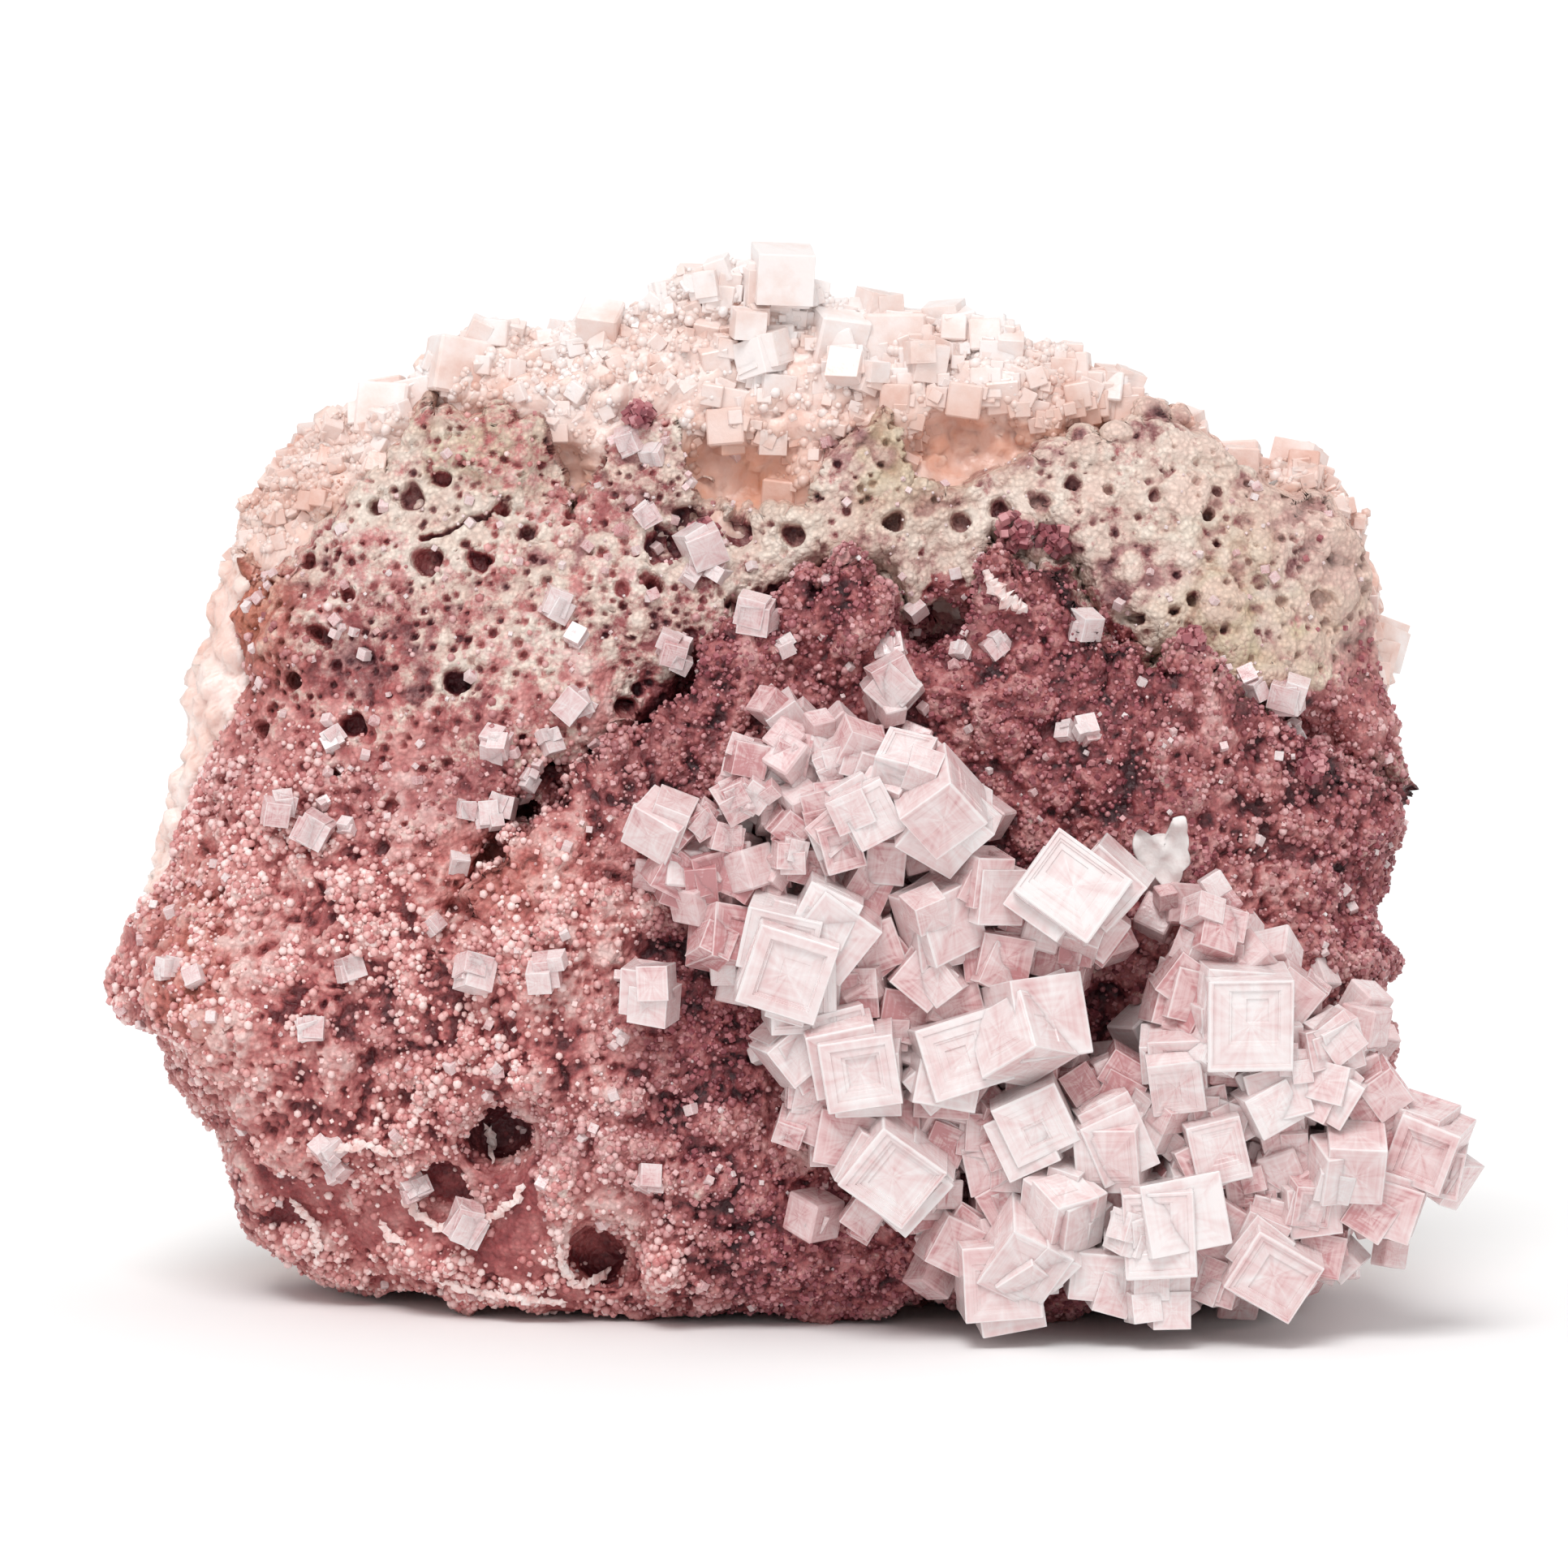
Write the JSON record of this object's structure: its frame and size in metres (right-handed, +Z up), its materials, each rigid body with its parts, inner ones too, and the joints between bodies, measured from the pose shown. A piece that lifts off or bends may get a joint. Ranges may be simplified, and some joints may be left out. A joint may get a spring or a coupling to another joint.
{
  "type": "pink halite mineral specimen",
  "caption": "Hand specimen of pink halite: stepped hopper cubes on a porous red and cream salt crust, backed by pale halite, standing on a flat lower edge.",
  "frame": {"origin": "on the surface it stands on, under the middle of the specimen's box", "axes": "+Z up, +X to the right as the crystals face the viewer, -Y towards the viewer, so the crystals are on the -Y side"},
  "size_m": [0.1532, 0.0768, 0.1196],
  "materials": {
    "red_crust": "rough granular salt crust, red below and cream above",
    "pale_halite": "translucent massive pale pink halite",
    "halite_crystal": "frosted, milky pale pink crystal",
    "salt_flake": "dull translucent white salt skin"
  },
  "bodies": {
    "root": {"matrix": "red_crust", "pale_halite": "pale_halite", "crystal_cluster": "halite_crystal", "crystal_above_cluster_left": "halite_crystal", "crystal_above_cluster_right": "halite_crystal", "crystal_left_of_cluster": "halite_crystal", "crystal_mid_left_white": "halite_crystal", "crystal_mid_left_pink": "halite_crystal", "crystal_far_left_upper": "halite_crystal", "crystal_far_left_lower": "halite_crystal", "crystal_on_cream_band": "halite_crystal", "crystal_ledge_left": "halite_crystal", "crystal_ledge_middle": "halite_crystal", "crystal_right_shoulder": "halite_crystal", "crystal_lower_left": "halite_crystal", "salt_flake": "salt_flake"}
  },
  "joints": []
}
